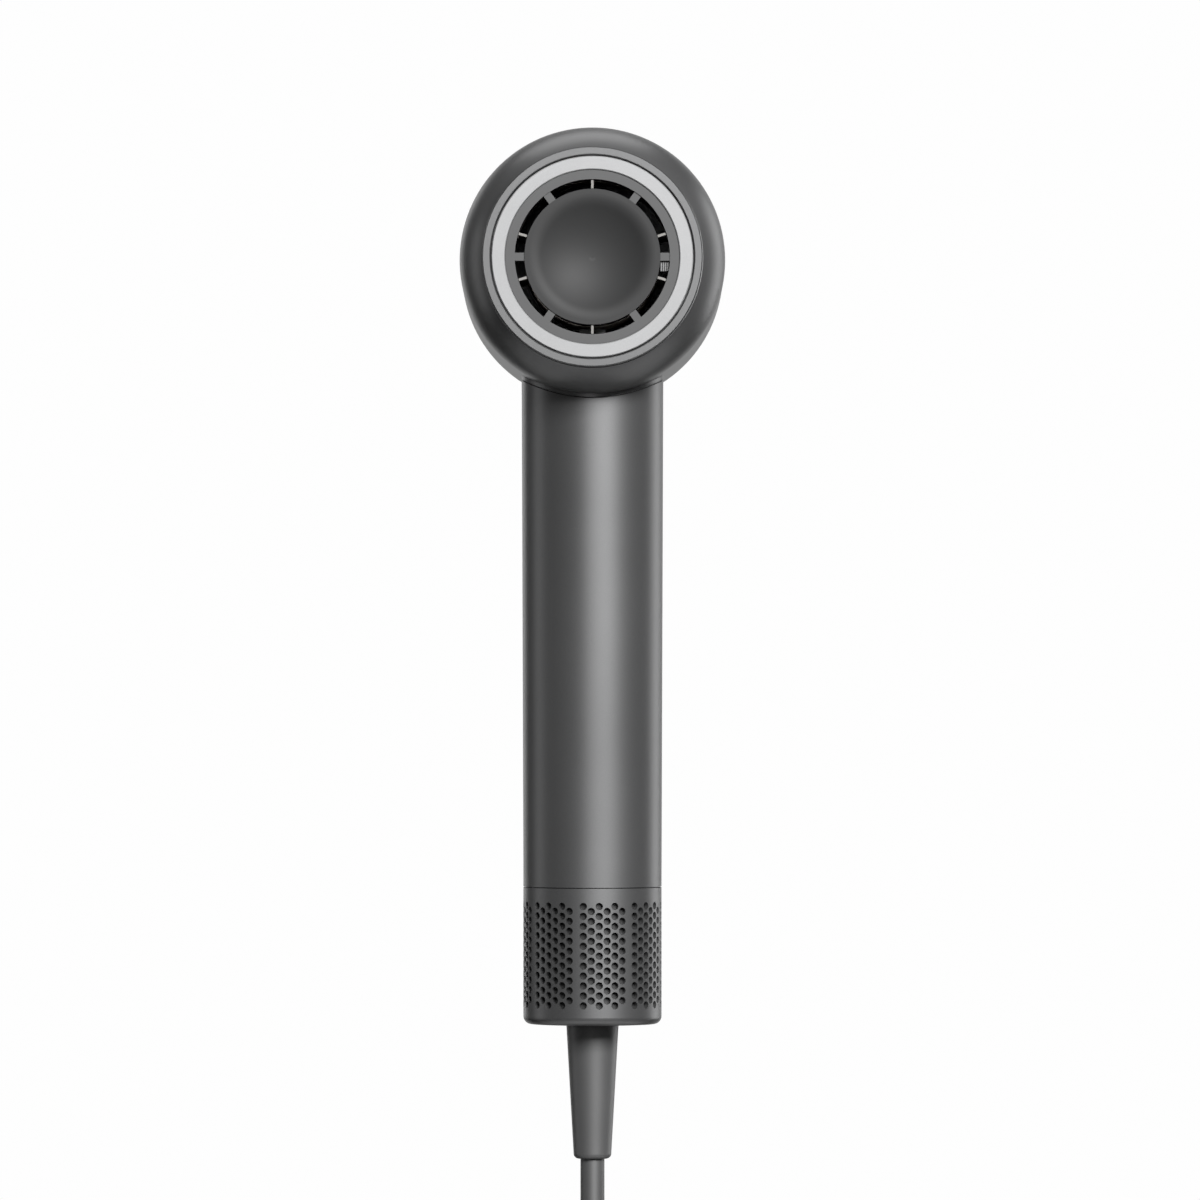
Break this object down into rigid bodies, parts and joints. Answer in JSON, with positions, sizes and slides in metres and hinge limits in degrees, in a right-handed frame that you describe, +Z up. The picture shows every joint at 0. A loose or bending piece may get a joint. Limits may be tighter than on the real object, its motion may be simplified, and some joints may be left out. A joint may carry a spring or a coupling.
{
  "type": "hair dryer",
  "caption": "Round-head hair dryer with an annular outlet round a dished centre, a straight round handle holding the fan motor, a perforated pull-off intake sleeve and a mains lead.",
  "frame": {"origin": "on the handle's axis at the middle of the grip, where a hand holds it", "axes": "+Z up the handle towards the head, -Y the way the outlet faces, 1.6 degrees below its own axis, +X to the right as seen from in front of the outlet"},
  "size_m": [0.077, 0.1016, 0.4819],
  "materials": {
    "housing": "satin dark grey",
    "bezel": "satin mid grey",
    "ring": "fine grained bright silver",
    "grille": "satin mid grey",
    "dish": "satin mid grey",
    "black_plastic": "plain black",
    "sleeve": "satin dark grey",
    "steel": "plain bright steel",
    "aluminium": "cast and turned",
    "magnet": "nickel plated",
    "mica": "mica sheet",
    "wire": "resistance wire",
    "rubber": "soft black",
    "laminate": "laminated steel, varnished",
    "copper": "enamelled copper wire",
    "fan": "moulded light grey",
    "board": "green circuit board",
    "parts": "moulded black components",
    "brass": "plain brass",
    "button": "satin light grey",
    "lens": "frosted clear",
    "mesh": "fine woven wire",
    "relief": "matte dark grey",
    "lead": "matte dark grey",
    "insulation": "red sleeving"
  },
  "bodies": {
    "dryer": {"head_shell": "housing", "rear_cover": "housing", "nozzle_bezel": "bezel", "attachment_ring": "ring", "nozzle_frame": "black_plastic", "ring_magnets": "magnet", "outlet_grille": "grille", "centre_dish": "dish", "flow_cone": "black_plastic", "tail_cap": "black_plastic", "duct_shroud": "black_plastic", "heater_boards": "mica", "heater_coil": "wire", "heater_liner": "mica", "thermal_cutout": "steel", "temperature_sensor": "fan", "ion_emitter": "parts", "ion_module": "parts", "heater_terminals": "brass", "neck_collar": "housing", "neck_seal": "rubber", "handle_tube": "housing", "handle_chassis": "black_plastic", "motor_housing": "aluminium", "stator_core": "laminate", "windings": "copper", "motor_bearings": "steel", "motor_mounts": "rubber", "driver_board": "board", "driver_parts": "parts", "control_board": "board", "tact_switches": "parts", "slide_switch": "parts", "control_panel": "sleeve", "indicator_lens": "lens", "intake_frame": "black_plastic", "base_magnets": "magnet", "strain_relief": "relief", "cord_clamp": "black_plastic", "clamp_screws": "steel", "internal_leads": "insulation", "cord": "lead", "cord_hank": "lead", "cord_tie": "rubber", "plug_body": "black_plastic", "plug_pins": "brass"},
    "rotor": {"rotor_shaft": "steel", "rotor_magnet": "magnet", "impeller": "fan"},
    "slider": {"power_slider": "button"},
    "heat_key": {"heat_button": "button"},
    "cool_key": {"cool_button": "button"},
    "intake_filter": {"filter_sleeve": "sleeve", "filter_mesh": "mesh", "catch_ring": "steel"}
  },
  "joints": [
    {"name": "rotor_spin", "type": "hinge", "parent": "dryer", "child": "rotor", "pos_m": [0, 0, -0.012], "axis": [0, 0, 1], "continuous": true},
    {"name": "filter_slide", "type": "slide", "parent": "dryer", "child": "intake_filter", "axis": [0, 0, -1], "range_m": [0, 0.045]},
    {"name": "power_slide", "type": "slide", "parent": "dryer", "child": "slider", "axis": [0, 0, 1], "range_m": [0, 0.008]},
    {"name": "heat_press", "type": "slide", "parent": "dryer", "child": "heat_key", "axis": [0, -1, 0], "range_m": [0, 0.001], "stiffness_N_per_m": 400},
    {"name": "cool_press", "type": "slide", "parent": "dryer", "child": "cool_key", "axis": [0, -1, 0], "range_m": [0, 0.001], "stiffness_N_per_m": 400}
  ]
}
